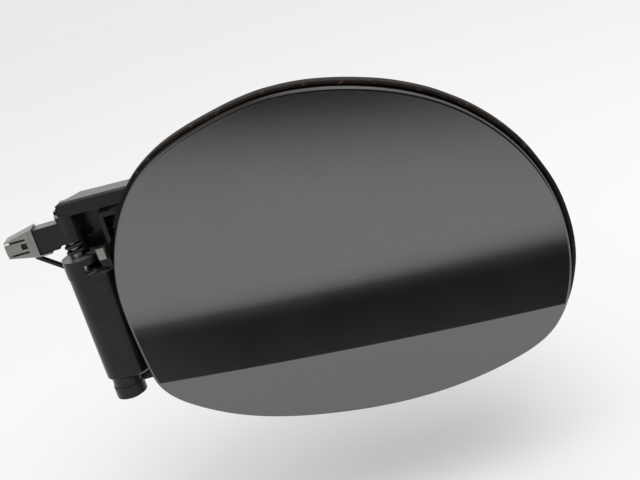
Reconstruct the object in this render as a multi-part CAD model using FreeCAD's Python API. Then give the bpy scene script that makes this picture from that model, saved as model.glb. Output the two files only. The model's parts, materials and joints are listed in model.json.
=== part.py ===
"""Fuel filler flap of a car with its bowl, hinge and spring clip, in millimetres.

The frame's origin is the centre of the filler neck's hole on the back face of the bowl's floor.
X points right, Y points back into the car body and Z points up along the hinge axis.
The painted flap faces -Y, and is drawn closed.
"""
import FreeCAD
import Part
import math
import os

Vec = FreeCAD.Vector

# Flap outline seen from the front: x to the right and z up, one point per change of bend
flap_outline = [
    (88.5, -16.0), (83.3, -42.7), (72.4, -57.2), (55.8, -64.4), (18.0, -69.7), (-24.8, -66.1),
    (-57.1, -57.6), (-76.2, -47.6), (-87.0, -37.6), (-92.0, -20.0), (-93.5, 6.0), (-86.1, 31.0),
    (-69.4, 52.4), (-41.0, 64.5), (-12.0, 68.8), (19.1, 63.9), (51.1, 49.2), (76.6, 22.8),
]

# Depths of the bowl, from the floor to the flap
floor_thickness = 3.0
bowl_depth = 42.0
rim_setback = 10.0
flap_plane = -(floor_thickness + bowl_depth + rim_setback)
rim_front = flap_plane + rim_setback

# Flap skin: a crowned sheet, arched at the top, with a flared shoulder above a crease
skin_thickness = 1.2
hem_depth = 3.0
crown_radius = 1300.0
arch_radius = 1250.0
arch_height = 28.0
upright_height = -2.0
blend_radius = 91.0
flare_angle = 12.5
crease_height = -40.0
crease_radius = 4.0
lower_angle = 2.0
line_slope = 4.5
panel_reach = 100.0
crown_reach = 130.0
core_depth = 60.0

# Inner panel of the flap
panel_clearance = 0.3
panel_thickness = 2.0
rib_setback = 7.4
rib_width = 1.6
rib_inset = 9.0
rib_spacing = 30.0
rib_columns = 5
rib_rows = 3
holder_x = 34.0
holder_z = -4.0
holder_radius = 13.0
holder_wall = 2.4
holder_depth = 12.0
holder_mouth = 15.0

# Bowl, whose rim sits a little lower and to the right of the flap
rim_shift_x = 0.5
rim_shift_z = -1.4
wall_thickness = 2.2
wall_inset_rim = 5.0
wall_inset_floor = 10.0
flange_overhang = 1.5
flange_thickness = 2.5
fin_thickness = 2.0
fin_depth = 20.0
fin_stations = (-52.0, -18.0, 18.0, 52.0)
drain_x = -16.0
drain_z = -46.0
drain_bore = 3.0
drain_wall = 1.8
drain_length = 16.0

# Neck hole and its seal
neck_radius = 26.0
seal_wall = 5.0
collar_wall = 2.5
collar_length = 12.0
seal_lip_width = 4.0
seal_lip_thickness = 2.0

# Rubber lip round the flange
lip_width = 2.7
lip_inner = 0.6
lip_front = 2.6
lip_back = 1.6
lip_taper = 1.4

# Hinge axis, pin and bushes
hinge_x = -104.5
hinge_setback = 12.0
hinge_y = flap_plane + hinge_setback
pin_radius = 2.5
running_gap = 0.05
bush_wall = 2.0
bush_length = 11.0

# Hinge arm: barrel, collar, plate and gussets
barrel_radius = 7.5
barrel_bottom = -31.0
barrel_length = 48.0
barrel_top = barrel_bottom + barrel_length
barrel_edge = 1.4
collar_radius = 6.2
collar_height = 3.6
plate_setback = 9.0
plate_thickness = 3.0
plate_margin = 3.0
plate_end_x = -42.0
plate_shoulder_x = -84.0
plate_end_inset = 7.0
plate_corner = 5.0
barrel_spread = 5.0
gusset_height = 4.0
gusset_width = 2.4
gusset_count = 3

# Barrel cap with its window, and the spring's anchor
cap_radius = 7.8
cap_height = 8.0
cap_wall = 1.6
cap_roof = 1.4
cap_gap = 0.3
window_height = 5.2
window_start = -78.0
window_sweep = 95.0
anchor_x = -94.4
anchor_width = 4.4
anchor_depth = 4.0
anchor_height = 5.0
anchor_rise = 2.4
anchor_play = 0.35
anchor_stem = 2.4

# Torsion spring
spring_wire = 0.7
spring_radius = 4.0
spring_turns = 2.5
spring_facets = 6
spring_leg = 6.0
spring_room = 7.0
spring_gap = 0.35

# Hinge carrier: knuckles, spine, flange, hood, rib and shelf
end_gap = 0.4
knuckle_radius = 4.2
upper_knuckle_height = 11.6
lower_knuckle_radius = 6.6
lower_knuckle_height = 5.0
knuckle_web = 6.0
pin_cover = 1.5
spine_gap = 0.8
spine_thickness = 3.5
spine_left = 6.5
spine_right_x = -83.0
land_x = -92.0
land_height = 60.0
land_length = 18.0
carrier_flange = 3.0
box_left = 1.4
box_slant = 9.0
box_front = 3.5
box_depth = 10.5
box_height = 6.0
box_reach = 32.0
box_clearance = 0.5
box_edge = 0.8
box_wall = 1.6
rib_x = -91.3
rib_thickness = 1.8
rib_front = 2.0
rib_drop = 13.0
shelf_drop = 3.0

# Bar that carries the clip, pointing left from the upper knuckle, and the stay below it
bar_front = 3.5
bar_depth = 6.3
bar_middle = 36.2
bar_tip_x = -129.0
bar_root_x = -110.0
bar_half_tip = 3.0
bar_half_seat = 5.3
stay_tip_x = -122.0
stay_foot_x = -109.8
stay_radius = 1.1
stay_setback = 0.8
stay_clearance = 2.0
stay_drop = 14.1

# Spring clip on the bar's end
clip_sheet = 0.7
clip_left_x = -131.0
clip_right_x = -118.4
clip_wing_x = -113.5
clip_wing_depth = 4.0
clip_slit = 0.8
clip_root = 3.6
clip_tongue_width = 4.6
clip_hole = 2.4
clip_fit = 0.1

# Screws
screw_radius = 1.6
screw_head_radius = 3.4
screw_head_height = 2.2
screw_length = 6.5
boss_radius = 4.0
arm_screw_places = ((-76.0, 5.0), (-76.0, -21.0), (-50.0, -8.0))
carrier_screw_span = 36.0
carrier_screw_setback = 12.0

# Lock guide in the bowl's right wall, and the striker that a lock pin holds
lock_depth = 26.0
lock_z = -18.0
lock_bore = 4.2
lock_wall = 1.8
lock_boss_wall = 2.6
lock_boss_x = 86.0
lock_inner_x = 71.0
striker_x = 62.0
striker_thickness = 3.0
striker_width = 14.0
striker_foot = 9.0
striker_nose = 6.0
striker_play = 0.4

# Rubber bump stops on the flange
stop_places = ((67.4, -57.8), (56.4, 39.7))
stop_radius = 2.4
stop_stem_radius = 1.4
stop_bulb_radius = 1.7
stop_bulb_length = 3.0
stop_gap = 0.3


def arc_between(start, heading, end):
    """Arc that leaves a point along a heading and ends at another: its three points and their normals."""
    inwards = Vec(heading.z, 0, -heading.x)
    chord = end - start
    radius = chord.dot(chord) / (2 * inwards.dot(chord))
    centre = start + inwards * radius
    middle = (start + end) * 0.5 - centre
    sign = 1 if radius > 0 else -1
    middle = centre + middle * (abs(radius) / middle.Length)
    return [(place, (place - centre) * (sign / abs(radius))) for place in (start, middle, end)]


def outline_arcs():
    """Pairs of tangent arcs that join the outline's points, with the headings of a smooth curve."""
    points = [Vec(x, 0, z) for x, z in flap_outline]
    smooth = Part.BSplineCurve()
    smooth.interpolate(points, PeriodicFlag=True)
    headings = [smooth.tangent(smooth.parameter(point))[0] for point in points]
    arcs = []
    for index, start in enumerate(points):
        following = (index + 1) % len(points)
        end = points[following]
        out, back = headings[index], headings[following]
        chord = end - start
        along = chord.dot(out + back)
        slack = 2 * (1 - out.dot(back))
        reach = (math.sqrt(along ** 2 + slack * chord.dot(chord)) - along) / slack
        joint = (start + out * reach + end - back * reach) * 0.5
        turn = end - back * reach - start - out * reach
        arcs.append(arc_between(start, out, joint))
        arcs.append(arc_between(joint, turn.normalize(), end))
    return arcs


flap_arcs = outline_arcs()


def outline(offset, y):
    """Flap outline moved outwards by an offset, as a closed wire at a depth y."""
    edges = []
    for arc in flap_arcs:
        start, middle, end = [place + outwards * offset + Vec(0, y, 0) for place, outwards in arc]
        edges.append(Part.Arc(start, middle, end).toShape())
    return Part.Wire(edges)


def plate(offset, front, back):
    """Prism of the offset outline between two depths."""
    return Part.Face(outline(offset, front)).extrude(Vec(0, back - front, 0))


def taper(front_offset, front, back_offset, back):
    """Solid that runs from one offset outline to another."""
    return Part.makeLoft([outline(front_offset, front), outline(back_offset, back)], True, True)


def around_rim(shape):
    """A shape drawn round the flap's outline, moved to where the bowl's rim is."""
    return shape.translated(Vec(rim_shift_x, 0, rim_shift_z))


def block(x, y, z):
    """Box between two corners, given as three pairs."""
    size = Vec(x[1] - x[0], y[1] - y[0], z[1] - z[0])
    return Part.makeBox(size.x, size.y, size.z, Vec(x[0], y[0], z[0]))


def upright(radius, low, high):
    """Cylinder on the hinge axis between two heights."""
    return Part.makeCylinder(radius, high - low, Vec(hinge_x, hinge_y, low))


def along_y(radius, x, z, front, back):
    """Cylinder that points to the back."""
    return Part.makeCylinder(radius, back - front, Vec(x, front, z), Vec(0, 1, 0))


def along_x(radius, y, z, left, right):
    """Cylinder that points to the right."""
    return Part.makeCylinder(radius, right - left, Vec(left, y, z), Vec(1, 0, 0))


def prism(points, direction):
    """Solid made by pushing a closed polygon along a direction."""
    return Part.Face(Part.makePolygon(points + points[:1])).extrude(direction)


def fused(first, *others):
    """One clean solid from several that meet."""
    return first.fuse(list(others)).removeSplitter()


def panel_core():
    """Everything behind the flap's outer face: a side profile turned about a far upright axis."""
    flare = math.radians(flare_angle)
    lower = math.radians(lower_angle)
    centre_y = flap_plane + arch_radius

    def arch_point(height):
        rise = height - arch_height
        return Vec(0, centre_y - math.sqrt(arch_radius ** 2 - rise ** 2), height)

    def blend_point(angle):
        out = blend_radius * (1 - math.cos(angle))
        return Vec(0, flap_plane - out, upright_height - blend_radius * math.sin(angle))

    top = arch_point(panel_reach)
    arch_middle = arch_point((panel_reach + arch_height) / 2)
    arch_foot = arch_point(arch_height)
    still = Vec(0, flap_plane, upright_height)
    flare_start = blend_point(flare)
    drop = flare_start.z - crease_height
    crease = Vec(0, flare_start.y - drop * math.tan(flare), crease_height)
    half_turn = (flare + lower) / 2
    tangent = crease_radius * math.tan(half_turn)
    inset = crease_radius * (1 / math.cos(half_turn) - 1)
    crease_start = crease + Vec(0, math.sin(flare), math.cos(flare)) * tangent
    crease_end = crease + Vec(0, math.sin(lower), -math.cos(lower)) * tangent
    tilt = (flare - lower) / 2
    crease_middle = crease + Vec(0, math.cos(tilt), -math.sin(tilt)) * inset
    foot_drop = crease_height + panel_reach
    foot = Vec(0, crease.y + foot_drop * math.tan(lower), -panel_reach)
    behind = flap_plane + core_depth
    edges = [
        Part.Arc(top, arch_middle, arch_foot).toShape(),
        Part.makeLine(arch_foot, still),
        Part.Arc(still, blend_point(flare / 2), flare_start).toShape(),
        Part.makeLine(flare_start, crease_start),
        Part.Arc(crease_start, crease_middle, crease_end).toShape(),
        Part.makeLine(crease_end, foot),
        Part.makeLine(foot, Vec(0, behind, -panel_reach)),
        Part.makeLine(Vec(0, behind, -panel_reach), Vec(0, behind, panel_reach)),
        Part.makeLine(Vec(0, behind, panel_reach), top),
    ]
    profile = Part.Face(Part.Wire(edges))
    axis_place = Vec(0, flap_plane + crown_radius, 0)
    half_sweep = math.degrees(math.asin(crown_reach / crown_radius))
    profile.rotate(axis_place, Vec(0, 0, 1), -half_sweep)
    solid = profile.revolve(axis_place, Vec(0, 0, 1), 2 * half_sweep)
    solid.rotate(Vec(0, flap_plane, 0), Vec(0, 1, 0), line_slope)
    return solid


core = panel_core()


def behind_face(depth):
    """What lies deeper than a distance behind the flap's outer face."""
    return core.translated(Vec(0, depth, 0))


flap_front_limit = flap_plane - core_depth / 2
flap_back_limit = flap_plane + core_depth / 2


def through_plate(offset):
    """Prism of the offset outline through the whole thickness of the flap."""
    return plate(offset, flap_front_limit, flap_back_limit)


def make_flap_skin():
    """Painted sheet with its hemmed edge."""
    skin = through_plate(0).common(core).cut(behind_face(hem_depth))
    hollow = through_plate(-skin_thickness).common(behind_face(skin_thickness))
    return skin.cut(hollow)


panel_back = skin_thickness + panel_thickness
striker_tall = (lock_z - striker_width / 2, lock_z + striker_width / 2)
striker_foot_x = (striker_x - striker_foot, striker_x + striker_thickness)
plate_front = flap_plane + plate_setback
plate_back = plate_front + plate_thickness


def make_inner_panel():
    """Moulded panel glued in the skin, with ribs, screw bosses and a holder for the filler cap."""
    outline_inset = skin_thickness + panel_clearance
    behind_skin = behind_face(skin_thickness)
    sheet = through_plate(-outline_inset).common(behind_skin).cut(behind_face(panel_back))
    rib_zone = plate(-rib_inset, flap_front_limit, flap_plane + rib_setback).common(behind_skin)
    depth = (flap_front_limit, flap_back_limit)
    reach = (-panel_reach, panel_reach)
    half = rib_width / 2
    bars = []
    for column in range(rib_columns):
        x = (column - (rib_columns - 1) / 2) * rib_spacing
        bars.append(block((x - half, x + half), depth, reach))
    for row in range(rib_rows):
        z = (row - (rib_rows - 1) / 2) * rib_spacing
        bars.append(block(reach, depth, (z - half, z + half)))
    grid = bars[0].fuse(bars[1:])
    foot_x = (striker_foot_x[0] - panel_clearance, striker_foot_x[1] + panel_clearance)
    foot_z = (striker_tall[0] - panel_clearance, striker_tall[1] + panel_clearance)
    ribs = rib_zone.common(grid).cut(block(foot_x, depth, foot_z))
    raised = []
    for x, z in arm_screw_places:
        raised.append(along_y(boss_radius, x, z, flap_front_limit, plate_front).common(behind_skin))
    holder = along_y(holder_radius + holder_wall, holder_x, holder_z, flap_front_limit, flap_back_limit)
    holder = holder.cut(along_y(holder_radius, holder_x, holder_z, flap_front_limit, flap_back_limit))
    mouth = (holder_z, holder_z + 2 * holder_radius)
    half_mouth = holder_mouth / 2
    holder = holder.cut(block((holder_x - half_mouth, holder_x + half_mouth), depth, mouth))
    holder_room = block(reach, (flap_front_limit, flap_plane + panel_back + holder_depth), reach)
    raised.append(holder.common(behind_skin).common(holder_room))
    panel = fused(sheet, ribs, *raised)
    for x, z in arm_screw_places:
        shank_end = plate_back - screw_length
        panel = panel.cut(along_y(screw_radius, x, z, shank_end, plate_front))
    return panel


bush_radius = pin_radius + running_gap + bush_wall
spring_low = barrel_top + cap_height + spring_gap + spring_wire
anchor_low = barrel_top + cap_height + anchor_rise - anchor_height
arm_bottom = barrel_bottom + plate_margin
arm_top = barrel_top - plate_margin


def make_hinge_arm():
    """Barrel with its stepped collar, and the plate that carries the flap."""
    barrel = upright(barrel_radius, barrel_bottom, barrel_top)
    spread = Vec(barrel_spread, 0, 0)
    between = block((hinge_x, hinge_x + barrel_spread), (hinge_y - barrel_radius, hinge_y + barrel_radius),
                    (barrel_bottom, barrel_top))
    barrel = fused(barrel, between, barrel.translated(spread))
    lower_rim = [edge for edge in barrel.Edges if edge.BoundBox.ZMax < barrel_bottom + barrel_edge]
    barrel = barrel.makeChamfer(barrel_edge, lower_rim)
    collar = upright(collar_radius, barrel_bottom - collar_height, barrel_bottom + barrel_edge)
    corners = [
        Vec(hinge_x, plate_front, arm_bottom),
        Vec(plate_shoulder_x, plate_front, arm_bottom),
        Vec(plate_end_x, plate_front, arm_bottom + plate_end_inset),
        Vec(plate_end_x, plate_front, arm_top - plate_end_inset),
        Vec(plate_shoulder_x, plate_front, arm_top),
        Vec(hinge_x, plate_front, arm_top),
    ]
    arm_plate = prism(corners, Vec(0, plate_thickness, 0))
    ends = [edge for edge in arm_plate.Edges
            if edge.BoundBox.XMin > plate_end_x - plate_corner and edge.BoundBox.ZLength < plate_corner]
    arm_plate = arm_plate.makeFillet(plate_corner, ends)
    gussets = []
    for index in range(gusset_count):
        share = (index + 0.5) / gusset_count
        z = arm_bottom + share * (arm_top - arm_bottom) - gusset_width / 2
        side = [
            Vec(hinge_x + bush_radius, plate_back, z),
            Vec(plate_shoulder_x, plate_back, z),
            Vec(hinge_x + bush_radius, plate_back + gusset_height, z),
        ]
        gussets.append(prism(side, Vec(0, 0, gusset_width)))
    stem_x = (anchor_x - anchor_width / 2, anchor_x + anchor_width / 2)
    stem_y = (plate_front, plate_front + anchor_stem)
    stem = block(stem_x, stem_y, (arm_top - plate_margin, anchor_low))
    arm = fused(barrel, collar, arm_plate, stem, *gussets)
    arm = arm.cut(upright(bush_radius, barrel_bottom - collar_height, barrel_top))
    for x, z in arm_screw_places:
        arm = arm.cut(along_y(screw_radius, x, z, plate_front, plate_back))
    return arm


def make_spring_anchor():
    """Bright steel block that holds the moving end of the spring."""
    half = anchor_width / 2
    leg_y = hinge_y - spring_radius
    y = (leg_y - anchor_depth / 2, leg_y + anchor_depth / 2)
    anchor = block((anchor_x - half, anchor_x + half), y, (anchor_low, anchor_low + anchor_height))
    corners = [edge for edge in anchor.Edges if edge.BoundBox.ZLength > anchor_height / 2]
    anchor = anchor.makeChamfer(spring_wire, corners)
    room = spring_wire + anchor_play
    slot_x = (anchor_x - anchor_width, anchor_x + room)
    slot_y = (leg_y - room, leg_y + room)
    return anchor.cut(block(slot_x, slot_y, (spring_low - room, spring_low + room)))


def make_bush(low):
    """Plastic bush in the barrel's bore, which turns on the pin."""
    return upright(bush_radius, low, low + bush_length).cut(
        upright(pin_radius + running_gap, low, low + bush_length))


def make_barrel_cap():
    """Cup on top of the barrel, open at the front right where the spring's end shows."""
    top = barrel_top + cap_height
    cap = upright(cap_radius, barrel_top, top)
    cap = cap.cut(upright(cap_radius - cap_wall, barrel_top, top - cap_roof))
    cap = cap.cut(upright(pin_radius + cap_gap, barrel_top, top))
    sector = Part.makeCylinder(2 * cap_radius, window_height, Vec(hinge_x, hinge_y, barrel_top),
                               Vec(0, 0, 1), window_sweep)
    sector.rotate(Vec(hinge_x, hinge_y, 0), Vec(0, 0, 1), window_start)
    return cap.cut(sector)


def make_striker():
    """Lug on the inner panel with a window for the car's lock pin."""
    nose_back = flap_plane + lock_depth + lock_bore + striker_nose
    leg = block((striker_x, striker_x + striker_thickness), (flap_plane, nose_back), striker_tall)
    foot = block(striker_foot_x, (flap_front_limit, flap_back_limit), striker_tall)
    foot = foot.cut(behind_face(panel_back + striker_thickness))
    window = lock_bore + striker_play
    lock_y = flap_plane + lock_depth
    hole = along_x(window, lock_y, lock_z, striker_x, striker_x + striker_thickness)
    return fused(leg, foot).common(behind_face(panel_back)).cut(hole)


def make_arm_screws():
    """Three pan-head screws through the arm's plate into the inner panel."""
    screws = []
    for x, z in arm_screw_places:
        shank = along_y(screw_radius, x, z, plate_back - screw_length, plate_back)
        head = along_y(screw_head_radius, x, z, plate_back, plate_back + screw_head_height)
        screws.append(fused(shank, head))
    return Part.makeCompound(screws)


land_y = (hinge_y + barrel_radius + spine_gap, hinge_y + barrel_radius + spine_gap + land_length)
carrier_screw_y = land_y[0] + carrier_screw_setback
carrier_screw_heights = (-carrier_screw_span / 2, carrier_screw_span / 2)
knuckle_low = barrel_top + cap_height + spring_room
knuckle_high = knuckle_low + upper_knuckle_height
lower_knuckle_top = barrel_bottom - collar_height - end_gap
lower_knuckle_bottom = lower_knuckle_top - lower_knuckle_height
notch_low = lower_knuckle_bottom + end_gap
notch_high = knuckle_low
notch_back = land_y[0]
flange_back = rim_front + flange_thickness
wall_back = -floor_thickness


def hinge_notch(front):
    """Space in the rim that the hinge arm passes through."""
    notch_x = (hinge_x - barrel_radius, land_x + land_length)
    return block(notch_x, (front, notch_back), (notch_low, notch_high))


def make_filler_bowl():
    """Moulded bowl: flange, tapered wall, floor with a neck collar, drain, fins and lands."""
    outside = around_rim(taper(-wall_inset_rim, rim_front, -wall_inset_floor, 0))
    inside = around_rim(taper(-wall_inset_rim - wall_thickness, rim_front,
                              -wall_inset_floor - wall_thickness, wall_back))
    flange = around_rim(plate(flange_overhang, rim_front, flange_back))
    half_fin = fin_thickness / 2
    fin_end = flange_back + fin_depth
    fins = []
    for x in fin_stations:
        slab = block((x - half_fin, x + half_fin), (flange_back, fin_end), (-panel_reach, panel_reach))
        fins.append(slab.common(around_rim(taper(-lip_inner, flange_back, -wall_inset_floor, fin_end))))
    half_land = land_height / 2
    land = block((land_x, land_x + land_length), land_y, (-half_land, half_land))
    lock_y = flap_plane + lock_depth
    lock_boss = along_x(lock_bore + lock_wall + lock_boss_wall, lock_y, lock_z, lock_inner_x, lock_boss_x)
    collar_radius_outer = neck_radius + seal_wall + collar_wall
    collar = along_y(collar_radius_outer, 0, 0, wall_back, collar_length)
    drain = along_y(drain_bore + drain_wall, drain_x, drain_z, wall_back, drain_length)
    bowl = fused(outside, flange, land, lock_boss, collar, drain, *fins).cut(inside)
    bowl = bowl.cut(along_y(neck_radius + seal_wall, 0, 0, wall_back, collar_length))
    bowl = bowl.cut(along_y(drain_bore, drain_x, drain_z, wall_back, drain_length))
    bowl = bowl.cut(along_x(lock_bore + lock_wall, lock_y, lock_z, lock_inner_x, lock_boss_x))
    bowl = bowl.cut(hinge_notch(rim_front))
    for z in carrier_screw_heights:
        bowl = bowl.cut(along_x(screw_radius, carrier_screw_y, z, land_x, land_x + screw_length))
    for x, z in stop_places:
        bowl = bowl.cut(along_y(stop_stem_radius, x, z, rim_front, flange_back))
    return bowl


def make_lip_seal():
    """Rubber channel on the flange's edge, with a soft lip that stands forward."""
    body_front = rim_front - lip_front / 2
    body_back = flange_back + lip_back
    body = plate(lip_width, body_front, body_back).cut(plate(-lip_inner, body_front, body_back))
    tip = rim_front - lip_front
    edge = taper(lip_width, tip, lip_width, rim_front)
    edge = edge.cut(taper(lip_width - lip_taper, tip, -lip_inner, rim_front))
    seal = fused(body, edge).cut(plate(flange_overhang, rim_front, flange_back))
    return around_rim(seal).cut(hinge_notch(tip))


def make_neck_seal():
    """Rubber ring in the collar that grips the filler neck."""
    ring = along_y(neck_radius + seal_wall, 0, 0, wall_back, collar_length)
    lip_radius = neck_radius + seal_wall + seal_lip_width
    lip = along_y(lip_radius, 0, 0, wall_back - seal_lip_thickness, wall_back)
    return fused(ring, lip).cut(along_y(neck_radius, 0, 0, wall_back - seal_lip_thickness, collar_length))


spine_front = land_y[0]
spine_back = spine_front + spine_thickness
hood_low = knuckle_high - end_gap
spine_left_x = hinge_x - spine_left
bar_y = (hinge_y - bar_front, hinge_y - bar_front + bar_depth)


def bar_half(x):
    """Half the height of the clip's bar, which narrows towards its tip."""
    share = (x - bar_tip_x) / (clip_right_x - bar_tip_x)
    return bar_half_tip + share * (bar_half_seat - bar_half_tip)


def bar_nose(outset, left, right):
    """Prism round the narrowing end of the bar, grown by an outset on all sides but its ends."""
    y = bar_y[0] - outset
    low, high = bar_half(left) + outset, bar_half(right) + outset
    corners = [
        Vec(left, y, bar_middle - low),
        Vec(left, y, bar_middle + low),
        Vec(right, y, bar_middle + high),
        Vec(right, y, bar_middle - high),
    ]
    return prism(corners, Vec(0, bar_depth + 2 * outset, 0))


def make_hood():
    """Box with a slanted left end, open below, over the upper knuckle."""
    front = hinge_y - box_front
    back = front + box_depth
    left = hinge_x - box_left
    right = left + box_reach
    hood = prism([
        Vec(left, front, hood_low),
        Vec(right, front, hood_low),
        Vec(right, back, hood_low),
        Vec(left + box_slant, back, hood_low),
    ], Vec(0, 0, box_height))
    hood = hood.makeChamfer(box_edge, [edge for edge in hood.Edges if edge.BoundBox.ZMin > knuckle_high])
    inside_x = (left + box_slant, right - box_wall)
    inside_y = (front + box_wall, back - box_wall)
    return hood.cut(block(inside_x, inside_y, (hood_low, hood_low + box_height - box_wall)))


def make_hinge_carrier():
    """Moulded carrier: knuckles for the pin on a spine, a hood above and the clip's bar to the left."""
    spine = block((spine_left_x, land_x), (spine_front, spine_back), (lower_knuckle_bottom, hood_low))
    half_land = land_height / 2
    wing = block((land_x, spine_right_x), (spine_front, spine_back), (half_land + end_gap, hood_low))
    flange = block((land_x - carrier_flange, land_x), land_y, (-half_land, half_land))
    half_web = knuckle_web / 2
    web_x = (hinge_x - half_web, hinge_x + half_web)
    upper_web = block(web_x, (hinge_y, spine_back), (knuckle_low, knuckle_high))
    lower_web = block(web_x, (hinge_y, spine_back), (lower_knuckle_bottom, lower_knuckle_top))
    upper = upright(knuckle_radius, knuckle_low, knuckle_high)
    lower = upright(lower_knuckle_radius, lower_knuckle_bottom, lower_knuckle_top)
    bar_end = bar_nose(0, bar_tip_x, clip_right_x)
    seat_half = bar_half(clip_right_x)
    bar = block((clip_right_x, hinge_x), bar_y, (knuckle_low, bar_middle + seat_half))
    bar_low = bar_middle - seat_half
    bar_foot = block((clip_right_x, bar_root_x), bar_y, (bar_low, bar_middle))
    stay_tip = Vec(stay_tip_x, bar_y[1] - stay_setback, bar_low - stay_clearance)
    stay_foot = Vec(stay_foot_x, (spine_front + spine_back) / 2, stay_tip.z - stay_drop)
    stay_way = stay_foot - stay_tip
    stay = Part.makeCylinder(stay_radius, stay_way.Length, stay_tip, stay_way)
    rib_y = (hinge_y - rib_front, spine_front)
    rib_top = hood_low - shelf_drop
    rib = block((rib_x, rib_x + rib_thickness), rib_y, (rib_top - rib_drop, rib_top))
    shelf = block((rib_x, spine_right_x), rib_y, (rib_top - rib_thickness, rib_top))
    hood_web = block((hinge_x - half_web, hinge_x + box_reach / 2), (hinge_y, spine_back),
                     (hood_low, hood_low + box_height / 2))
    carrier = fused(spine, wing, flange, upper_web, lower_web, upper, lower, bar_end, bar, bar_foot, stay,
                    rib, shelf, make_hood(), hood_web)
    carrier = carrier.cut(around_rim(plate(lip_width + box_clearance, flap_plane, notch_back)))
    carrier = carrier.cut(upright(pin_radius, lower_knuckle_bottom, knuckle_high - pin_cover))
    for z in carrier_screw_heights:
        carrier = carrier.cut(along_x(screw_radius, carrier_screw_y, z, land_x - carrier_flange, land_x))
    return carrier


def make_hinge_pin():
    """Steel pin from the lower knuckle up into the upper one, with a head below."""
    head_low = lower_knuckle_bottom - pin_radius / 2
    shank = upright(pin_radius, lower_knuckle_bottom, knuckle_high - pin_cover)
    head = upright(pin_radius + bush_wall, head_low, lower_knuckle_bottom)
    return fused(shank, head)


def make_torsion_spring():
    """Coil round the pin above the cap, with one leg to the anchor and one to the carrier."""
    high = knuckle_low - spring_gap - spring_wire
    height = high - spring_low
    helix = Part.makeHelix(height / spring_turns, height, spring_radius, 0, True)
    corners = []
    for index in range(spring_facets + 1):
        angle = 2 * math.pi * index / spring_facets
        corners.append(Vec(spring_radius + spring_wire * math.cos(angle), 0, spring_wire * math.sin(angle)))
    coil = Part.Wire(helix).makePipeShell([Part.makePolygon(corners)], True, True)
    coil.rotate(Vec(0, 0, 0), Vec(0, 0, 1), -90)
    coil.translate(Vec(hinge_x, hinge_y, spring_low))
    moving_leg = Part.makeCylinder(spring_wire, anchor_x - hinge_x,
                                   Vec(hinge_x, hinge_y - spring_radius, spring_low), Vec(1, 0, 0))
    fixed_leg = Part.makeCylinder(spring_wire, spring_leg, Vec(hinge_x, hinge_y + spring_radius, high),
                                  Vec(1, 0, 0))
    return Part.makeCompound([coil, moving_leg, fixed_leg])


def make_carrier_screws():
    """Two screws that hold the carrier's flange to the bowl's land."""
    screws = []
    head_face = land_x - carrier_flange
    for z in carrier_screw_heights:
        shank = along_x(screw_radius, carrier_screw_y, z, head_face, land_x + screw_length)
        head = along_x(screw_head_radius, carrier_screw_y, z, head_face - screw_head_height, head_face)
        screws.append(fused(shank, head))
    return Part.makeCompound(screws)


def make_spring_clip():
    """Folded steel clip on the bar: a sleeve whose front is slit into three fingers, with a wing below."""
    clip = bar_nose(clip_fit + clip_sheet, clip_left_x, clip_right_x).cut(
        bar_nose(clip_fit, clip_left_x, clip_right_x))
    front = bar_y[0] - clip_fit - clip_sheet
    seat_low = bar_middle - bar_half(clip_right_x) - clip_fit
    wing_y = (front, front + clip_wing_depth)
    clip = fused(clip, block((clip_right_x, clip_wing_x), wing_y, (seat_low - clip_sheet, seat_low)))
    half_finger = clip_tongue_width / 2
    slit_end = clip_right_x - clip_root
    slit_y = (front, bar_y[0])
    for z in (bar_middle - half_finger - clip_slit, bar_middle + half_finger):
        clip = clip.cut(block((clip_left_x, slit_end), slit_y, (z, z + clip_slit)))
    hole_x = (slit_end - clip_hole, slit_end)
    hole_z = (bar_middle - clip_hole / 2, bar_middle + clip_hole / 2)
    return clip.cut(block(hole_x, slit_y, hole_z))


def make_lock_guide():
    """Plastic bush in the bowl's wall for the pin of the car's lock."""
    lock_y = flap_plane + lock_depth
    guide = along_x(lock_bore + lock_wall, lock_y, lock_z, lock_inner_x, lock_boss_x)
    return guide.cut(along_x(lock_bore, lock_y, lock_z, lock_inner_x, lock_boss_x))


def make_bump_stops():
    """Two rubber buffers pushed into the flange, which the closed flap rests against."""
    stops = []
    for x, z in stop_places:
        pad = along_y(stop_radius, x, z, flap_front_limit, rim_front)
        pad = pad.common(behind_face(panel_back + stop_gap))
        stem = along_y(stop_stem_radius, x, z, rim_front, flange_back)
        bulb = Part.makeCone(stop_bulb_radius, stop_stem_radius / 2, stop_bulb_length,
                             Vec(x, flange_back, z), Vec(0, 1, 0))
        stops.append(fused(pad, stem, bulb))
    return Part.makeCompound(stops)


nodes = {
    "flap_skin": make_flap_skin(),
    "inner_panel": make_inner_panel(),
    "hinge_arm": make_hinge_arm(),
    "spring_anchor": make_spring_anchor(),
    "lower_bush": make_bush(barrel_bottom - collar_height),
    "upper_bush": make_bush(barrel_top - bush_length),
    "barrel_cap": make_barrel_cap(),
    "striker": make_striker(),
    "arm_screws": make_arm_screws(),
    "filler_bowl": make_filler_bowl(),
    "lip_seal": make_lip_seal(),
    "neck_seal": make_neck_seal(),
    "hinge_carrier": make_hinge_carrier(),
    "hinge_pin": make_hinge_pin(),
    "torsion_spring": make_torsion_spring(),
    "carrier_screws": make_carrier_screws(),
    "spring_clip": make_spring_clip(),
    "lock_guide": make_lock_guide(),
    "bump_stops": make_bump_stops(),
}

os.makedirs("parts", exist_ok=True)
for name, shape in nodes.items():
    print(f"{name:16s} solids {len(shape.Solids)} volume {shape.Volume:10.1f} valid {shape.isValid()}")
    shape.exportStep(f"parts/{name}.step")
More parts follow.
